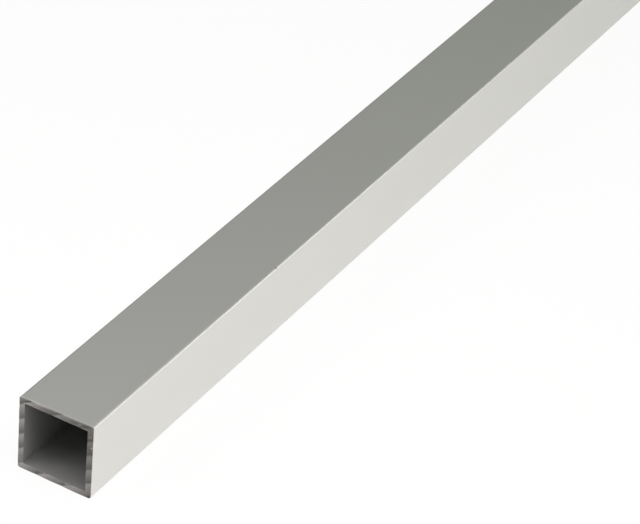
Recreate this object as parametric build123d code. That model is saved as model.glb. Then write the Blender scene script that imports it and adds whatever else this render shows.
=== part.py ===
"""Square aluminium tube: one sawn length of extruded square hollow section.

The tube lies on its bottom face, along Y, with +Z up. The origin is at the middle of the
bottom face, so the front end is at -Y and the back end at +Y. All sizes are in millimetres.
"""

from build123d import *

import os

# Driving dimensions
SIDE = 20.0  # outer width and height of the section, across the flats
WALL = 1.5  # wall thickness, the same on all four sides
OUTER_CORNER_RADIUS = 0.5  # rounding that the die gives the four outer corners
INNER_CORNER_RADIUS = 0.2  # rounding that the mandrel gives the four inner corners
STOCK_LENGTH = 1000.0  # length between the two sawn ends

# The square hollow that plug connectors and smaller tubes go into
HOLLOW_SIDE = SIDE - 2 * WALL


def tube_section(end):
    """The cross-section: a rounded square with a rounded square hollow in its middle."""
    with BuildSketch(end) as section:
        RectangleRounded(SIDE, SIDE, OUTER_CORNER_RADIUS)
        RectangleRounded(HOLLOW_SIDE, HOLLOW_SIDE, INNER_CORNER_RADIUS, mode=Mode.SUBTRACT)
    return section.sketch


def square_tube():
    """The section pressed through the die along Y, and sawn square at both ends."""
    back_end = Plane(
        origin=(0, STOCK_LENGTH / 2, SIDE / 2),
        x_dir=(1, 0, 0),
        z_dir=(0, -1, 0),
    )
    tube = extrude(tube_section(back_end), amount=STOCK_LENGTH).solid()
    tube.label = "square_tube"
    return tube


os.makedirs("parts", exist_ok=True)
export_step(square_tube(), "parts/square_tube.step")
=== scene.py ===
import math

import bpy
import numpy as np
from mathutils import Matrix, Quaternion, Vector


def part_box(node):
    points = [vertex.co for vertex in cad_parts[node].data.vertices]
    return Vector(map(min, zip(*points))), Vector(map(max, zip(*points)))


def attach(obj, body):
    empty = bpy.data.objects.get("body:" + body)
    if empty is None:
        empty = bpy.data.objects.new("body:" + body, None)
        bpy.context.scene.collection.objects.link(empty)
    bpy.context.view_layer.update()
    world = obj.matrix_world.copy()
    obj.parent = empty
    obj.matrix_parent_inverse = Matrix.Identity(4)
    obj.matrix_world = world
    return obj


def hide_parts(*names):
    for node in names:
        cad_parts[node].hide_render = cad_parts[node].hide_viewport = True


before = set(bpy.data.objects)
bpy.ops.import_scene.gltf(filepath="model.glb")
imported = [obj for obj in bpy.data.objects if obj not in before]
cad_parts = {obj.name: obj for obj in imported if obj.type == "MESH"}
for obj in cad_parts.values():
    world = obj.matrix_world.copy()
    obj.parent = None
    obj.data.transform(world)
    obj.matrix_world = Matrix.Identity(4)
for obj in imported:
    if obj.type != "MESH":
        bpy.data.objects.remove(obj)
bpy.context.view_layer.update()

# ---------------------------------------------------------------------------------------
# The extruded walls
# A length of square hollow section in aluminium alloy. The hot metal is pressed through a
# steel die and around a mandrel, so the four walls are one piece, equally thick all along,
# with small round corners. The outside is then etched matt and anodised.

low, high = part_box("square_tube")
SIDE = high.z - low.z
FRONT, BACK = low.y, high.y
MILLIMETRE = 0.001
WALL = 1.5 * MILLIMETRE
OUTER_CORNER = 0.5 * MILLIMETRE
INNER_CORNER = 0.2 * MILLIMETRE
CORNER_STEPS = 8
FLAT_STEPS = 112
EVEN_SHARE = 0.6
mid_height = (low.z + high.z) / 2


def rounded_square(side, radius):
    """Points (x, z) of one closed turn around a rounded square, and their outward directions.

    Corner k turns from k to k + 1 quarter turns about its own centre, as the centre plus
    radius times (cosine, sine). Each flat is the straight line to the next corner. Its points
    are spaced partly evenly and partly by a cosine, so they are closer beside the corners.
    """
    quarter = np.pi / 2
    corner = np.arange(4)[:, None]
    turn = (corner + np.linspace(0, 1, CORNER_STEPS + 1)) * quarter
    diagonal = (corner + 0.5) * quarter
    centre = (side / 2 - radius) * math.sqrt(2)
    arcs = np.stack(
        [
            centre * np.cos(diagonal) + radius * np.cos(turn),
            centre * np.sin(diagonal) + radius * np.sin(turn),
        ],
        axis=-1,
    )
    even = np.linspace(0, 1, FLAT_STEPS + 1)[1:-1]
    eased = (1 - np.cos(np.pi * even)) / 2
    share = (EVEN_SHARE * even + (1 - EVEN_SHARE) * eased)[None, :, None]
    starts = arcs[:, -1:]
    ends = np.roll(arcs, -1, axis=0)[:, :1]
    flats = starts + share * (ends - starts)
    facing = np.concatenate([turn, np.repeat(turn[:, -1:], FLAT_STEPS - 1, axis=1)], axis=1)
    points = np.concatenate([arcs, flats], axis=1).reshape(-1, 2)
    points[:, 1] += mid_height
    facing = facing.reshape(-1)
    return points, np.stack([np.cos(facing), np.sin(facing)], axis=-1)


outer_ring, outward = rounded_square(SIDE, OUTER_CORNER)
inner_ring, _ = rounded_square(SIDE - 2 * WALL, INNER_CORNER)
AROUND = len(outer_ring)


def linear(hex_colour):
    """An sRGB hex colour as linear red, green, blue and alpha."""
    values = [int(hex_colour[i : i + 2], 16) / 255 for i in (1, 3, 5)]
    return [v / 12.92 if v <= 0.04045 else ((v + 0.055) / 1.055) ** 2.4 for v in values] + [1]


def add_node(tree, kind, values=None, links=None, stops=(), **settings):
    """Adds a node with its settings, its unlinked values and its incoming links.

    Inputs go by name or by number, and stops are a colour ramp's (position, colour) pairs.
    It gives back the sockets going out, by name.
    """
    node = tree.nodes.new(kind)
    for name, value in settings.items():
        setattr(node, name, value)
    for _ in stops[2:]:
        node.color_ramp.elements.new(0.5)
    for index, (position, colour) in enumerate(stops):
        node.color_ramp.elements[index].position = position
        node.color_ramp.elements[index].color = colour
    inputs = dict(enumerate(node.inputs))
    inputs.update((socket.name, socket) for socket in reversed(node.inputs) if socket.enabled)
    for name, value in (values or {}).items():
        inputs[name].default_value = value
    for name, socket in (links or {}).items():
        tree.links.new(socket, inputs[name])
    return {socket.name: socket for socket in reversed(node.outputs) if socket.enabled}


def finish_named(name):
    """A new material with an empty node tree."""
    material = bpy.data.materials.new(name)
    material.use_nodes = True
    material.node_tree.nodes.clear()
    return material, material.node_tree


DIRT_AND_SHADE = "#2B2620"
DIRT_AND_SHADE_ROUGHNESS = 0.85


def under_dirt_and_shade(tree, colour, roughness):
    """The colour and roughness sockets, mixed towards a dull dark where the mesh has dirt and
    where it has painted shade.
    """
    dirt_and_shade = add_node(tree, "ShaderNodeAttribute", attribute_name="dirt_and_shade")["Fac"]
    dirtied = add_node(
        tree,
        "ShaderNodeMix",
        {"B": linear(DIRT_AND_SHADE)},
        {"Factor": dirt_and_shade, "A": colour},
        data_type="RGBA",
    )
    dulled = add_node(
        tree,
        "ShaderNodeMapRange",
        {"To Max": DIRT_AND_SHADE_ROUGHNESS},
        {"Value": dirt_and_shade, "To Min": roughness},
    )
    return dirtied["Result"], dulled["Result"]


DIE_LINE = 0.4 * MILLIMETRE
LINE_LENGTH = 400 * MILLIMETRE
GLOSS_WAVER = 0.03
# Brighter where rubbed, and in painted highlights and painted sheen.
RUBBED_AND_LIT_BRIGHT = "#FAF9F6"


def extruded_finish(name, dark, light, roughness, line_height):
    """A metal whose colour, gloss and height waver only across the direction of pressing.

    The noise is stretched to die lines. Real ones are 0.05 to 0.2 mm apart, and these are
    drawn 0.4 mm apart so that they show. Where the mesh is burnished or has a painted
    highlight or painted sheen, the metal is brighter.
    """
    material, tree = finish_named(name)
    place = add_node(tree, "ShaderNodeTexCoord")["Object"]
    stretched = add_node(
        tree,
        "ShaderNodeMapping",
        {"Scale": (DIE_LINE, LINE_LENGTH, DIE_LINE)},
        {"Vector": place},
        vector_type="TEXTURE",
    )["Vector"]
    lines = add_node(
        tree,
        "ShaderNodeTexNoise",
        {"Scale": 1.0, "Detail": 3.0, "Roughness": 0.6},
        {"Vector": stretched},
    )["Fac"]
    colour = add_node(
        tree,
        "ShaderNodeMix",
        {"A": linear(dark), "B": linear(light)},
        {"Factor": lines},
        data_type="RGBA",
    )["Result"]
    gloss = add_node(
        tree,
        "ShaderNodeMapRange",
        {"To Min": roughness - GLOSS_WAVER, "To Max": roughness + GLOSS_WAVER},
        {"Value": lines},
    )["Result"]
    burnish_and_highlight = add_node(tree, "ShaderNodeAttribute", attribute_name="burnish_and_highlight")["Fac"]
    colour = add_node(
        tree,
        "ShaderNodeMix",
        {"B": linear(RUBBED_AND_LIT_BRIGHT)},
        {"Factor": burnish_and_highlight, "A": colour},
        data_type="RGBA",
    )["Result"]
    colour, gloss = under_dirt_and_shade(tree, colour, gloss)
    relief = add_node(
        tree, "ShaderNodeBump", {"Distance": line_height, "Strength": 1.0}, {"Height": lines}
    )["Normal"]
    surface = add_node(
        tree,
        "ShaderNodeBsdfPrincipled",
        {"Metallic": 1.0},
        {"Base Color": colour, "Roughness": gloss, "Normal": relief},
    )["BSDF"]
    add_node(tree, "ShaderNodeOutputMaterial", links={"Surface": surface})
    return material


# Anodised aluminium, etched to a satin before the clear film is grown. The eye sees an even,
# slightly warm silver grey whose highlights spread wide, with no mirror images in it.
satin_anodised = extruded_finish(
    "satin_anodised_aluminium", "#DEDDDA", "#E2E1DE", 0.38, 0.002 * MILLIMETRE
)

# ---------------------------------------------------------------------------------------
# The hollow
# The mandrel leaves the inside as it comes off the press. The etch and the film hardly reach
# down it, so it is duller than the outside. Its first millimetres are painted brighter, a
# painted sheen of the light falling in at the end, and painted shade darkens it along its
# corners.

MOUTH_SHEEN = 0.33
MOUTH_DEPTH = 2.5 * MILLIMETRE
SHEEN_RISE_HEIGHT = 6.0 * MILLIMETRE
# Painted shade along the hollow's inner corners.
CORNER_SHADE = 0.16
CORNER_SHADE_REACH = 1.0 * MILLIMETRE


def painted_mouth_sheen(z, from_end):
    """How much brighter the hollow is painted near its end, a painted sheen of the light
    falling in.

    A share that fades with the depth, and that rises evenly over the wall from a third of
    it at the bottom.
    """
    upper_share = np.clip((z - low.z) / SHEEN_RISE_HEIGHT, 1 / 3, 1)
    return MOUTH_SHEEN * upper_share * np.exp(-from_end / MOUTH_DEPTH)


def painted_corner_shade(x, z):
    """Painted shade on the hollow's walls: a bell in the distance to the nearest inner corner.
    """
    from_corner = SIDE / 2 - WALL - np.minimum(np.abs(x), np.abs(z - mid_height))
    return CORNER_SHADE * np.exp(-((from_corner / CORNER_SHADE_REACH) ** 2))


hollow_finish = extruded_finish(
    "as_extruded_aluminium", "#AAABA9", "#B6B7B5", 0.6, 0.004 * MILLIMETRE
)

# ---------------------------------------------------------------------------------------
# The sawn ends
# Both ends are cut square by a circular saw of 300 mm after the anodising, so they show bare
# metal. Each step of the feed leaves a low ridge along an arc of the blade, with the finer
# scratches of single teeth on it, and the teeth roll the top edge over a little.

BLADE_RADIUS = 150 * MILLIMETRE
FEED = 3.53 * MILLIMETRE
SAW_SLOPE = math.radians(29.1)
FIRST_RIDGE = BLADE_RADIUS + 11.56 * MILLIMETRE
RIDGE_HEIGHT = 0.08 * MILLIMETRE
EDGE_BREAK = 0.1 * MILLIMETRE
BLADE_WANDER = 0.25 * MILLIMETRE
CUT_ROWS = 16
# Play in the machine makes the steps waver by this share of a step, over this angle in
# radians along the arc and over this distance across it.
WAVER = 0.025
WAVER_ALONG = 1 / 130
WAVER_ACROSS = 0.9 * MILLIMETRE
blade_x = BLADE_RADIUS * math.sin(SAW_SLOPE)
blade_z = mid_height - BLADE_RADIUS * math.cos(SAW_SLOPE)


def saw_place(x, z):
    """Where a point of the cut lies for the saw: (feed steps passed, radians along the arc).

    The steps are the distance from the blade's centre over the feed, plus a waver that is a
    sine along the arc times a sine across it.
    """
    from_blade = np.hypot(x - blade_x, z - blade_z)
    angle = np.arctan2(z - blade_z, x - blade_x)
    waver = WAVER * np.sin(angle / WAVER_ALONG) * np.sin(from_blade / WAVER_ACROSS)
    return (from_blade - FIRST_RIDGE) / FEED + waver, angle


def ridge_relief(steps):
    """Height of the cut face: a parabola across each step, highest in its middle."""
    across = steps - np.floor(steps)
    return -RIDGE_HEIGHT * (2 * across - 1) ** 2


def wandered(x, z):
    """How far the blade ran out of square: evenly more to the right times evenly more down."""
    return BLADE_WANDER * (x / SIDE + 0.5) * (high.z - z) / SIDE


ROLL_DEPTH = 0.09 * MILLIMETRE
ROLL_REACH = 0.2 * MILLIMETRE
ROLL_AT = -0.33 * SIDE
ROLL_SPREAD = 0.17 * SIDE
ROLL_LEVEL = 0.55
RIPPLE_SHARE = 0.2
FINE_RIPPLE = 0.31 * MILLIMETRE
LONG_RIPPLE = 0.83 * MILLIMETRE


def rolled_edge(x, z, from_end):
    """From 0 to 1, how far the top edge is rolled over.

    A bell in the distance to the edge, times an even level with a bell on it along the edge,
    times two ripples along it.
    """
    apart = ((high.z - z) ** 2 + from_end**2) / ROLL_REACH**2
    along = (x - ROLL_AT) / ROLL_SPREAD
    level = ROLL_LEVEL + (1 - ROLL_LEVEL) * np.exp(-(along**2))
    ripples = 1 + RIPPLE_SHARE * (np.sin(x / FINE_RIPPLE) * np.sin(x / LONG_RIPPLE) - 1)
    return level * ripples * np.exp(-apart)


def strokes(x, z, marks):
    """A sum of bells stretched along the saw's stroke.

    Each mark is (x, z, length, width, strength), in millimetres from the middle of the
    bottom edge.
    """
    at_x, at_z, length, width, strength = np.array(marks).T
    right = x[..., None] / MILLIMETRE - at_x
    up = z[..., None] / MILLIMETRE - at_z
    along = (right * math.cos(SAW_SLOPE) + up * math.sin(SAW_SLOPE)) / length
    across = (up * math.cos(SAW_SLOPE) - right * math.sin(SAW_SLOPE)) / width
    return np.sum(strength * np.exp(-(along**2) - across**2), axis=-1)


# Swarf and coolant have dried in a few places, and some teeth have rubbed the metal bright.
CUT_GRIME = [
    (-4.6, 0.8, 0.4, 0.25, 0.45),
    (2.7, 0.7, 0.6, 0.25, 0.45),
    (-7.6, 19.5, 0.9, 0.16, 0.65),
    (9.6, 0.4, 0.6, 0.40, 0.55),
    (-2.2, 1.4, 0.4, 0.12, 0.40),
    (4.6, 1.3, 0.5, 0.15, 0.40),
    (8.8, 19.3, 1.3, 0.60, 0.12),
    (9.3, 14.2, 0.9, 0.70, 0.12),
]
CUT_BURNISH = [
    (-8.0, 18.8, 1.2, 0.22, 0.25),
    (-2.8, 0.8, 0.7, 0.10, 0.16),
    (3.2, 1.2, 0.6, 0.10, 0.40),
    (9.8, 14.3, 0.3, 0.12, 0.70),
    (-9.2, 2.2, 0.8, 0.80, 0.09),
    (6.2, 19.2, 1.0, 0.30, 0.12),
    (9.3, 17.1, 0.6, 0.40, 0.10),
]
FOOT_SHINE = 0.07
FOOT_REACH = 2 * MILLIMETRE


def brighter_foot(z):
    """How much brighter the cut is at its foot: half a bell in the height."""
    return FOOT_SHINE * np.exp(-(((z - low.z) / FOOT_REACH) ** 2))


DULL_RIGHT = 1.15
DULL_UP = 0.95
DULL_FROM = 0.45
DULL_TO = 1.35


def dulled(x, z):
    """From 0 to 1, how much duller the cut is towards its top right corner.

    The way there is x and the height, as shares of the side, each times its own weight. The
    dullness rises evenly along it.
    """
    way = (DULL_RIGHT * x + DULL_UP * (z - low.z)) / SIDE
    return np.clip((way - DULL_FROM) / (DULL_TO - DULL_FROM), 0, 1)


SAWN_DULL = "#474543"
SAWN_BRIGHT = "#9F9B99"
# Bright where rubbed, and in painted highlights along the cut's edges.
BURNISHED_AND_LIT = "#E4E3E1"
DULL_ROUGHNESS = 0.56
BRIGHT_ROUGHNESS = 0.42
# The shade across one step of the feed. It rises evenly and falls back at the ridge.
STEP_SHADES = [(0.0, 0.48), (0.07, 0.04), (0.93, 0.94), (1.0, 0.48)]
STROKE_LENGTH = 6 * MILLIMETRE
STROKE_WIDTH = 0.3 * MILLIMETRE
TOOTH_HEIGHT = 0.012 * MILLIMETRE
TORN_PATCH = 2.5 * MILLIMETRE
# How much of the tone comes from torn patches, from single teeth and from the feed's steps,
# and how much of it is left where the cut is dullest.
TORN_SHARE = 0.15
TEETH_SHARE = 0.3
STEP_SHARE = 0.7
TONE_LEFT = 0.5


def sawn_finish(name):
    """Bare metal, brighter towards the end of each step of the feed, streaked by teeth.

    Real tooth marks are about 0.1 mm apart, and these are drawn 0.3 mm apart so that they
    show.
    """
    material, tree = finish_named(name)
    on_cut = add_node(tree, "ShaderNodeAttribute", attribute_name="saw_place")["Vector"]
    steps = add_node(tree, "ShaderNodeSeparateXYZ", links={0: on_cut})["X"]
    across = add_node(tree, "ShaderNodeMath", links={0: steps}, operation="FRACT")["Value"]
    shades = [(share, (shade, shade, shade, 1)) for share, shade in STEP_SHADES]
    step = add_node(tree, "ShaderNodeValToRGB", links={"Fac": across}, stops=shades)["Color"]
    along_stroke = add_node(
        tree,
        "ShaderNodeMapping",
        {"Scale": (FEED / STROKE_WIDTH, BLADE_RADIUS / STROKE_LENGTH, 1)},
        {"Vector": on_cut},
    )["Vector"]
    teeth = add_node(
        tree,
        "ShaderNodeTexNoise",
        {"Scale": 1.0, "Detail": 2.0, "Roughness": 0.6},
        {"Vector": along_stroke},
    )["Fac"]
    place = add_node(tree, "ShaderNodeTexCoord")["Object"]
    torn = add_node(
        tree,
        "ShaderNodeTexNoise",
        {"Scale": 1 / TORN_PATCH, "Detail": 3.0, "Roughness": 0.6},
        {"Vector": place},
    )["Fac"]
    tone = add_node(
        tree, "ShaderNodeMath", {1: TORN_SHARE}, {0: torn}, operation="MULTIPLY"
    )["Value"]
    for pattern, share in ((teeth, TEETH_SHARE), (step, STEP_SHARE)):
        tone = add_node(
            tree,
            "ShaderNodeMath",
            {1: share},
            {0: pattern, 2: tone},
            operation="MULTIPLY_ADD",
        )["Value"]
    dullness = add_node(tree, "ShaderNodeAttribute", attribute_name="dullness")["Fac"]
    kept = add_node(
        tree, "ShaderNodeMapRange", {"To Min": 1.0, "To Max": TONE_LEFT}, {"Value": dullness}
    )["Result"]
    tone = add_node(
        tree, "ShaderNodeMath", links={0: tone, 1: kept}, operation="MULTIPLY"
    )["Value"]
    colour = add_node(
        tree,
        "ShaderNodeMix",
        {"A": linear(SAWN_DULL), "B": linear(SAWN_BRIGHT)},
        {"Factor": tone},
        data_type="RGBA",
    )["Result"]
    burnish_and_highlight = add_node(tree, "ShaderNodeAttribute", attribute_name="burnish_and_highlight")["Fac"]
    colour = add_node(
        tree,
        "ShaderNodeMix",
        {"B": linear(BURNISHED_AND_LIT)},
        {"Factor": burnish_and_highlight, "A": colour},
        data_type="RGBA",
    )["Result"]
    gloss = add_node(
        tree,
        "ShaderNodeMapRange",
        {"To Min": DULL_ROUGHNESS, "To Max": BRIGHT_ROUGHNESS},
        {"Value": tone},
    )["Result"]
    colour, gloss = under_dirt_and_shade(tree, colour, gloss)
    relief = add_node(
        tree,
        "ShaderNodeBump",
        {"Distance": TOOTH_HEIGHT, "Strength": 1.0},
        {"Height": teeth},
    )["Normal"]
    surface = add_node(
        tree,
        "ShaderNodeBsdfPrincipled",
        {"Metallic": 1.0},
        {"Base Color": colour, "Roughness": gloss, "Normal": relief},
    )["BSDF"]
    add_node(tree, "ShaderNodeOutputMaterial", links={"Surface": surface})
    return material


# Sawn aluminium, cut by coarse carbide teeth with little coolant. The eye sees a darker,
# warmer grey than the film's, in slanting bands that brighten up to a sharp edge.
sawn = sawn_finish("sawn_aluminium")

# ---------------------------------------------------------------------------------------
# The knock on the top right edge
# Handling has left one small dent in the long edge, 78 mm from the front end. A harder edge
# pressed the corner in, and the broken film around it has taken dirt.

KNOCK_AT = FRONT + 78.3 * MILLIMETRE
KNOCK_LENGTH = 0.34 * MILLIMETRE
KNOCK_WIDTH = 0.24 * MILLIMETRE
KNOCK_DEPTH = 0.08 * MILLIMETRE
KNOCK_CORE = 0.9
KNOCK_RIM = 0.35
KNOCK_REACH = 1.8 * MILLIMETRE
KNOCK_ROWS = 36
STAIN_FROM_EDGE = 0.25 * MILLIMETRE
STAIN_SIZE = 0.26 * MILLIMETRE
STAIN_DARK = 0.62
HALO_DARK = 0.05
HALO_AREA = 6


def knocked_in(points):
    """How far each point is pressed in.

    A bell in the length and in the distance past the core of the dent, times a factor that
    falls with both and turns negative further out, which raises a low rim of pushed metal.
    """
    along = (points[..., 1] - KNOCK_AT) / KNOCK_LENGTH
    away = np.hypot(points[..., 0] - high.x, points[..., 2] - high.z) / KNOCK_WIDTH
    apart = along**2 + np.maximum(away - KNOCK_CORE, 0) ** 2
    return KNOCK_DEPTH * (1 - KNOCK_RIM * apart) * np.exp(-apart)


def knock_stain(points):
    """Dirt beside the knock: a dark bell on the top face, and a faint wide one around it."""
    spot = np.array([high.x - STAIN_FROM_EDGE, KNOCK_AT, high.z])
    apart = np.sum((points - spot) ** 2, axis=-1) / STAIN_SIZE**2
    return STAIN_DARK * np.exp(-apart) + HALO_DARK * np.exp(-apart / HALO_AREA)


# ---------------------------------------------------------------------------------------
# The tube's skin
# One closed surface. Its rows go out along the outer face, over the broken edge, across the
# back cut, back along the hollow and across the front cut, and each row goes once around.

EDGE_STEPS = 3
FIRST_GAP = 0.1 * MILLIMETRE
GAP_GROWTH = 1.5
END_ROWS = 14
MIDDLE_ROWS = 24
MIDDLE_FROM_END = 20 * MILLIMETRE


def end_outline():
    """(inset from the end, share of the wall's thickness) across one end, outside to inside.

    A quarter circle of the edge break's radius, the flat cut, and the same quarter circle
    on the inner edge.
    """
    turn = np.linspace(0, np.pi / 2, EDGE_STEPS + 1)
    edge = EDGE_BREAK / WALL
    over = np.stack([EDGE_BREAK * (1 - np.sin(turn)), edge * (1 - np.cos(turn))], axis=-1)
    across = np.linspace(edge, 1 - edge, CUT_ROWS + 1)[1:-1]
    cut = np.stack([np.zeros_like(across), across], axis=-1)
    back_over = np.stack([over[::-1, 0], 1 - over[::-1, 1]], axis=-1)
    return np.concatenate([over, cut, back_over])


# The walls' rows stand closer together towards an end, each gap 1.5 times the last one. The
# hollow has a third of the outside's middle rows.
growing = GAP_GROWTH ** np.arange(1, END_ROWS + 1)
near_end = EDGE_BREAK + FIRST_GAP * (growing - 1) / (GAP_GROWTH - 1)
near_knock = KNOCK_AT + np.linspace(-KNOCK_REACH, KNOCK_REACH, KNOCK_ROWS)
between = np.linspace(FRONT + MIDDLE_FROM_END, BACK - MIDDLE_FROM_END, MIDDLE_ROWS)
between = between[np.abs(between - KNOCK_AT) > 2 * KNOCK_REACH]
outer_rows = np.sort(np.concatenate([FRONT + near_end, between, near_knock, BACK - near_end]))
inner_rows = np.sort(np.concatenate([FRONT + near_end, between[::3], BACK - near_end]))

end = end_outline()
row_y = np.concatenate([outer_rows, BACK - end[:, 0], inner_rows[::-1], FRONT + end[::-1, 0]])
row_depth = np.concatenate(
    [np.zeros(len(outer_rows)), end[:, 1], np.ones(len(inner_rows)), end[::-1, 1]]
)
ROWS = len(row_y)
depth = row_depth[:, None, None]
skin = np.empty((ROWS, AROUND, 3))
skin[..., ::2] = (1 - depth) * outer_ring + depth * inner_ring
skin[..., 1] = row_y[:, None]
x, z = skin[..., 0].copy(), skin[..., 2].copy()

# The back end was cut from the other side, so it is the front one turned half way around.
RELIEF_FADE = 0.25 * MILLIMETRE
# The rolled top edge is painted brighter, partly as bare metal and partly as a painted
# highlight; the lip of the inner edge gets a painted highlight.
ROLL_SHINE = 0.36
INNER_LIP_HIGHLIGHT = 0.4
at_back = row_y[:, None] > 0
cut_x = np.where(at_back, -x, x)
cut_z = np.where(at_back, low.z + high.z - z, z)
from_end = np.minimum(row_y - FRONT, BACK - row_y)[:, None]
on_cut = (row_depth > 0)[:, None] * np.exp(-from_end / RELIEF_FADE)
steps, angle = saw_place(cut_x, cut_z)
rolled = rolled_edge(cut_x, cut_z, from_end)
inner_lip = rolled_edge(-cut_x, cut_z + WALL, (1 - row_depth[:, None]) * WALL + from_end)
in_hollow = (row_depth == 1)[:, None]
dirt_and_shade = knock_stain(skin) + strokes(cut_x, cut_z, CUT_GRIME) * on_cut
# Painted shade along the hollow's inner corners joins the dirt in one mask.
dirt_and_shade += painted_corner_shade(x, z) * in_hollow
burnish_and_highlight = (strokes(cut_x, cut_z, CUT_BURNISH) + brighter_foot(cut_z)) * on_cut
# Painted highlights along the rolled top edge and along the inner edge's lip.
burnish_and_highlight += ROLL_SHINE * rolled + INNER_LIP_HIGHLIGHT * inner_lip
# Painted sheen inside the hollow near each end, where light falls in at the opening.
burnish_and_highlight += painted_mouth_sheen(z, from_end) * in_hollow
pressed = knocked_in(skin) * (row_depth == 0)[:, None]
into_end = np.where(at_back, -1, 1) * np.exp(-from_end / RELIEF_FADE)
rolled_down = np.where(at_back, 1, -1) * ROLL_DEPTH * rolled
skin[..., 0] -= pressed * outward[:, 0]
relief = ridge_relief(steps) + wandered(cut_x, cut_z) - ROLL_DEPTH * rolled
skin[..., 1] -= into_end * relief
skin[..., 2] += rolled_down - pressed * outward[:, 1]


def closed_grid(name, points):
    """A mesh whose rows and columns both close on themselves, as on a ring-shaped tube.

    Each face goes to the next row first and then to the next column, which turns it
    outward. The UV map gives each row and each column the same share, so that it has the
    most room where the rows stand close together.
    """
    rows, columns = points.shape[:2]
    row, column = np.divmod(np.arange(rows * columns), columns)
    across = np.stack([row, row + 1, row + 1, row], axis=-1)
    around = np.stack([column, column, column + 1, column + 1], axis=-1)
    corners = (across % rows) * columns + around % columns
    mesh = bpy.data.meshes.new(name)
    mesh.vertices.add(rows * columns)
    mesh.vertices.foreach_set("co", points.astype(np.float32).ravel())
    mesh.loops.add(corners.size)
    mesh.loops.foreach_set("vertex_index", corners.astype(np.int32).ravel())
    mesh.polygons.add(len(corners))
    mesh.polygons.foreach_set("loop_start", np.arange(0, corners.size, 4, dtype=np.int32))
    mesh.polygons.foreach_set("use_smooth", np.ones(len(corners), bool))
    mesh.update(calc_edges=True)
    spread = np.stack([across / rows, around / columns], axis=-1).astype(np.float32)
    mesh.uv_layers.new(name="OFBake").uv.foreach_set("vector", spread.ravel())
    return mesh


mesh = closed_grid("tube", skin)
for finish in (satin_anodised, sawn, hollow_finish):
    mesh.materials.append(finish)
zone = np.repeat([0, 1, 2, 1], [len(outer_rows), len(end), len(inner_rows), len(end)])
mesh.polygons.foreach_set("material_index", np.repeat(zone, AROUND).astype(np.int32))
amounts = {"dirt_and_shade": dirt_and_shade, "burnish_and_highlight": burnish_and_highlight, "dullness": dulled(cut_x, cut_z)}
for name, amount in amounts.items():
    on_mesh = mesh.attributes.new(name, "FLOAT", "POINT")
    on_mesh.data.foreach_set("value", np.clip(amount, 0, 1).astype(np.float32).ravel())
saw_map = np.stack([steps, angle, np.zeros_like(steps)], axis=-1)
on_mesh = mesh.attributes.new("saw_place", "FLOAT_VECTOR", "POINT")
on_mesh.data.foreach_set("vector", saw_map.astype(np.float32).ravel())
mesh.validate()
tube = bpy.data.objects.new("tube", mesh)
bpy.context.scene.collection.objects.link(tube)
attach(tube, "root")
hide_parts("square_tube")

# ---------------------------------------------------------------------------------------
# The floor
# A roll of white background paper runs out level under the tube. It is matt, takes the tube's
# soft shadow, and the eye sees it as plain white.

FLOOR_REACH = 30.0
PAPER = "#E8EAE6"
CAMERA_WHITE = 0.9
METAL_WHITE = 0.32
corner = np.array([(-1, -1, 0), (1, -1, 0), (1, 1, 0), (-1, 1, 0)]) * FLOOR_REACH
floor_mesh = bpy.data.meshes.new("floor")
floor_mesh.from_pydata(corner.tolist(), [], [(0, 1, 2, 3)])
floor = bpy.data.objects.new("floor", floor_mesh)
bpy.context.scene.collection.objects.link(floor)

# Matt coated paper. Part of its white comes straight to the eye and to the metal's
# reflections, and the rest is lit, so the shadow on it stays.
paper, tree = finish_named("white_background_paper")
ray = add_node(tree, "ShaderNodeLightPath")
in_metal = add_node(
    tree,
    "ShaderNodeMath",
    links={0: ray["Is Glossy Ray"], 1: ray["Is Transmission Ray"]},
    operation="ADD",
)["Value"]
reflected = add_node(
    tree, "ShaderNodeMath", {1: METAL_WHITE}, {0: in_metal}, operation="MULTIPLY"
)["Value"]
glowing = add_node(
    tree,
    "ShaderNodeMath",
    {1: CAMERA_WHITE},
    {0: ray["Is Camera Ray"], 2: reflected},
    operation="MULTIPLY_ADD",
    use_clamp=True,
)["Value"]
matt = add_node(tree, "ShaderNodeBsdfDiffuse", {"Color": linear(PAPER)})["BSDF"]
white = add_node(tree, "ShaderNodeEmission", {"Color": linear("#FFFFFF"), "Strength": 1.0})
both = add_node(
    tree, "ShaderNodeMixShader", links={0: glowing, 1: matt, 2: white["Emission"]}
)["Shader"]
add_node(tree, "ShaderNodeOutputMaterial", links={"Surface": both})
floor_mesh.materials.append(paper)

# ---------------------------------------------------------------------------------------
# The studio light
# White walls stand far off, dim above the horizon and lighter again under the ceiling. Three
# softboxes light the tube: one above the front end, one at its left and in front of it, and
# one low at the right, half way along.

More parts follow.
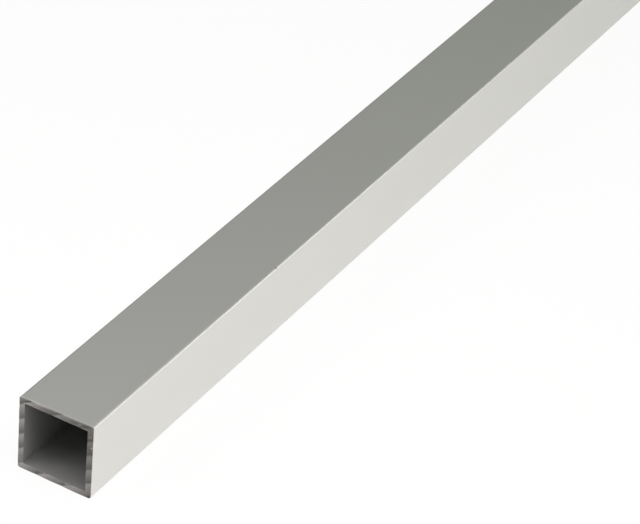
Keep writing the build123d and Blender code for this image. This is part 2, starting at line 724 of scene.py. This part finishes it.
# The shade of the studio at each height above the horizon, in degrees.
STUDIO = [
    (0, "#FFFFFF"),
    (2, "#FFFFFF"),
    (4, "#A5A5AA"),
    (12, "#787B78"),
    (22, "#505B4A"),
    (32, "#90978B"),
    (42, "#C4C2C6"),
    (60, "#C1C4BE"),
    (90, "#AAAAAA"),
]
world = bpy.data.worlds.new("studio")
bpy.context.scene.world = world
world.use_nodes = True
tree = world.node_tree
tree.nodes.clear()
direction = add_node(tree, "ShaderNodeTexCoord")["Generated"]
height = add_node(tree, "ShaderNodeSeparateXYZ", links={0: direction})["Z"]
shades = [(math.sin(math.radians(degrees)), linear(colour)) for degrees, colour in STUDIO]
shade = add_node(tree, "ShaderNodeValToRGB", links={"Fac": height}, stops=shades)["Color"]
walls = add_node(tree, "ShaderNodeBackground", links={"Color": shade})["Background"]
add_node(tree, "ShaderNodeOutputWorld", links={"Surface": walls})


def softbox(name, at, towards, width, height, radiance, cloth):
    """A flat lamp behind white cloth: its power is pi times its area times its radiance."""
    lamp = bpy.data.lights.new(name, "AREA")
    lamp.shape = "RECTANGLE"
    lamp.size = width
    lamp.size_y = height
    lamp.energy = math.pi * width * height * radiance
    lamp.color = linear(cloth)[:3]
    box = bpy.data.objects.new(name, lamp)
    box.location = at
    box.rotation_mode = "QUATERNION"
    box.rotation_quaternion = (Vector(towards) - Vector(at)).to_track_quat("-Z", "Y")
    box.visible_camera = False
    bpy.context.scene.collection.objects.link(box)


softbox("key_softbox", (0.15, -0.56, 0.435), (0, -0.50, 0), 0.35, 0.35, 4.60, "#FFFAFE")
softbox("rim_softbox", (0.60, 0.06, 0.15), (0, -0.47, 0.02), 0.35, 0.20, 3.10, "#F9FCF3")
softbox("fill_softbox", (-0.40, -0.85, 0.40), (0, -0.50, 0), 0.35, 0.35, 5.05, "#FFFAFE")

# ---------------------------------------------------------------------------------------
# The camera
# A long lens 0.7 m from the front end, above it and to its right, looking down the length.
# It is rolled by a few degrees.

CAMERA_AT = Vector((0.30664, -0.96575, 0.44462))
AIM = Vector((0.01016, -0.40013, 0.00989))
ROLL = math.radians(5.348)
LENS = 176.19
camera = bpy.data.objects.new("camera", bpy.data.cameras.new("camera"))
camera.location = CAMERA_AT
camera.rotation_mode = "QUATERNION"
upright = (AIM - CAMERA_AT).to_track_quat("-Z", "Y")
camera.rotation_quaternion = upright @ Quaternion((0, 0, 1), ROLL)
camera.data.lens = LENS
camera.data.sensor_width = 36.0
camera.data.clip_start = 0.01
camera.data.clip_end = 100.0
bpy.context.scene.collection.objects.link(camera)
bpy.context.scene.camera = camera
bpy.context.scene.view_settings.view_transform = "Standard"
